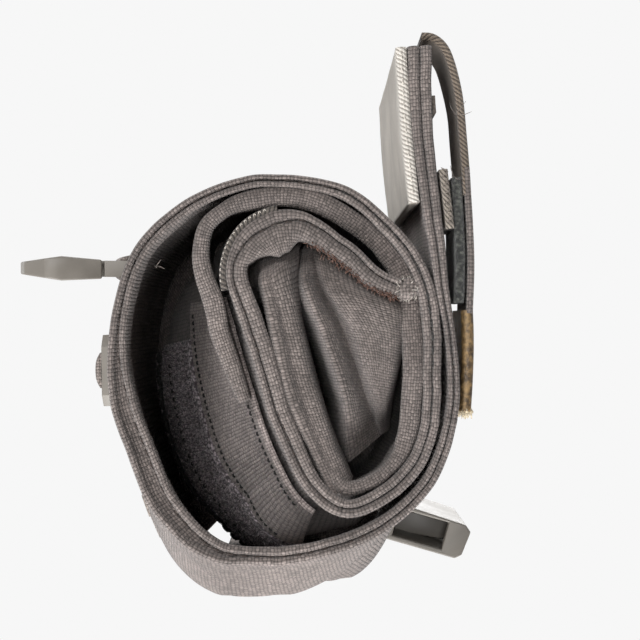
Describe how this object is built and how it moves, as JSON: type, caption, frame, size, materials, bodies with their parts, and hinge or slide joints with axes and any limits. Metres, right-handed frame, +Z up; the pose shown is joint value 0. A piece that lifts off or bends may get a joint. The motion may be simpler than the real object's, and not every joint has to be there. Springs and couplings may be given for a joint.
{
  "type": "tourniquet",
  "caption": "Rolled wide fabric tourniquet band with a hook-and-loop tab, pull strap and the two halves of a side-release buckle on webbing.",
  "frame": {"origin": "middle of the flat patch under the roll that it rests on", "axes": "+Z up, +Y along the roll's axis from the near rim to the far one, +X towards the side with the tab"},
  "size_m": [0.1017, 0.1097, 0.1083],
  "materials": {
    "band_cloth": "matte plain-woven nylon",
    "lining_cloth": "matte plain-woven nylon",
    "webbing": "matte woven nylon webbing",
    "pile_tape": "fuzzy loop pile",
    "edge_tape": "ribbed tape with a fuzzy edge",
    "facing_tape": "fine ribbed tape",
    "knit_tape": "zigzag knit",
    "ribbon": "diagonal ribbed ribbon",
    "hook_tape": "matte hook tape",
    "closure_film": "satin resin-coated hook strip",
    "thread": "bonded nylon thread",
    "buckle_nylon": "satin moulded nylon"
  },
  "bodies": {
    "root": {"band_outer_base": "band_cloth", "band_outer_crest": "band_cloth", "band_second_wrap": "band_cloth", "band_inner_rise": "band_cloth", "band_inner_crest": "band_cloth", "core_fold_left": "band_cloth", "core_fold_middle": "band_cloth", "core_pleat": "band_cloth", "core_right_layer": "band_cloth", "core_tuck": "band_cloth", "crescent_tuck": "band_cloth", "lining_top": "lining_cloth", "lining_fold": "lining_cloth", "load_strap": "webbing", "loop_tape_wide": "pile_tape", "loop_tape_narrow": "pile_tape", "inner_edge_tape": "edge_tape", "buckle_strap": "webbing", "strap_bartack": "thread", "male_strap_loop": "webbing", "female_strap_root": "webbing", "female_strap_loop": "webbing"},
    "tab": {"band_tab": "band_cloth", "tab_facing_tape": "facing_tape", "tab_knit_patch": "knit_tape", "tab_bartack": "thread"},
    "pull_strap": {"pull_loop": "ribbon", "hook_backing": "band_cloth", "hook_tape": "hook_tape", "closure_film": "closure_film"},
    "male_half": {"male_frame": "buckle_nylon"},
    "male_arm_near": {"male_arm_near": "buckle_nylon"},
    "male_arm_far": {"male_arm_far": "buckle_nylon"},
    "female_half": {"female_shell": "buckle_nylon"},
    "slider": {"strap_slider": "buckle_nylon", "slider_webbing": "webbing"}
  },
  "joints": [
    {"name": "tab_peel", "type": "hinge", "parent": "root", "child": "tab", "pos_m": [0.0382, 0, 0.0382], "axis": [0, 1, 0], "range_deg": [0, 80]},
    {"name": "pull_strap_swing", "type": "hinge", "parent": "tab", "child": "pull_strap", "pos_m": [0.0313, -0.0265, 0.1071], "axis": [0, -1, 0], "range_deg": [0, 110]},
    {"name": "male_swivel", "type": "hinge", "parent": "root", "child": "male_half", "pos_m": [-0.029, 0.019, 0.0672], "axis": [-0.1735, 0.9842, 0.0349], "range_deg": [-52, 70]},
    {"name": "arm_squeeze_near", "type": "hinge", "parent": "male_half", "child": "male_arm_near", "pos_m": [-0.03352, 0.00663, 0.0668], "axis": [-0.0061, 0.0344, -0.9994], "range_deg": [0, 8], "stiffness_Nm_per_rad": 0.05},
    {"name": "arm_squeeze_far", "type": "hinge", "parent": "male_half", "child": "male_arm_far", "pos_m": [-0.03748, 0.02907, 0.0676], "axis": [0.0061, -0.0344, 0.9994], "range_deg": [0, 8], "stiffness_Nm_per_rad": 0.05},
    {"name": "female_swivel", "type": "hinge", "parent": "root", "child": "female_half", "pos_m": [0.0202, 0.0562, 0.0117], "axis": [0, -1, 0], "range_deg": [0, 100]},
    {"name": "slider_slide", "type": "slide", "parent": "root", "child": "slider", "axis": [-0.0902, 0, 0.9959], "range_m": [-0.006, 0.006]}
  ],
  "couplings": [
    {"joint": "arm_squeeze_far", "follows": "arm_squeeze_near", "ratio": 1}
  ]
}
